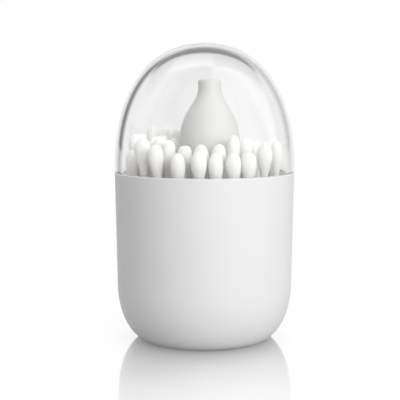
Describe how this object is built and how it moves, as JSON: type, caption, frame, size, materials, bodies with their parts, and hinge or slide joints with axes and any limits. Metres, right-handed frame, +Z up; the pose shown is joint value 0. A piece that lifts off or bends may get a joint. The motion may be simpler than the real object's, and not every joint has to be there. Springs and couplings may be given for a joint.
{
  "type": "cotton swab holder",
  "caption": "Capsule-shaped cotton swab holder: white cup with a rounded bottom, clear dome lid that lifts off, and cotton swabs standing round a bottle-shaped post.",
  "frame": {"origin": "middle of the foot, on the surface that the holder stands on", "axes": "+Z up along the cup's axis, front towards -Y"},
  "size_m": [0.07, 0.07, 0.1151],
  "materials": {
    "cup_white": "matt white moulded plastic",
    "lid_clear": "clear polished plastic",
    "post_white": "satin warm white moulded plastic",
    "swab_cotton": "white cotton buds on cream paper sticks"
  },
  "bodies": {
    "cup": {"cup": "cup_white", "centre_post": "post_white", "swab_01": "swab_cotton", "swab_02": "swab_cotton", "swab_03": "swab_cotton", "swab_04": "swab_cotton", "swab_05": "swab_cotton", "swab_06": "swab_cotton", "swab_07": "swab_cotton", "swab_08": "swab_cotton", "swab_09": "swab_cotton", "swab_10": "swab_cotton", "swab_11": "swab_cotton", "swab_12": "swab_cotton", "swab_13": "swab_cotton", "swab_14": "swab_cotton", "swab_15": "swab_cotton", "swab_16": "swab_cotton", "swab_17": "swab_cotton", "swab_18": "swab_cotton", "swab_19": "swab_cotton", "swab_20": "swab_cotton", "swab_21": "swab_cotton", "swab_22": "swab_cotton", "swab_23": "swab_cotton", "swab_24": "swab_cotton", "swab_25": "swab_cotton", "swab_26": "swab_cotton", "swab_27": "swab_cotton", "swab_28": "swab_cotton", "swab_29": "swab_cotton", "swab_30": "swab_cotton", "swab_31": "swab_cotton", "swab_32": "swab_cotton", "swab_33": "swab_cotton", "swab_34": "swab_cotton", "swab_35": "swab_cotton", "swab_36": "swab_cotton", "swab_37": "swab_cotton", "swab_38": "swab_cotton", "swab_39": "swab_cotton", "swab_40": "swab_cotton", "swab_41": "swab_cotton", "swab_42": "swab_cotton", "swab_43": "swab_cotton"},
    "lid": {"lid": "lid_clear"}
  },
  "joints": [
    {"name": "lid_lift", "type": "slide", "parent": "cup", "child": "lid", "axis": [0, 0, 1], "range_m": [0, 0.05]}
  ]
}
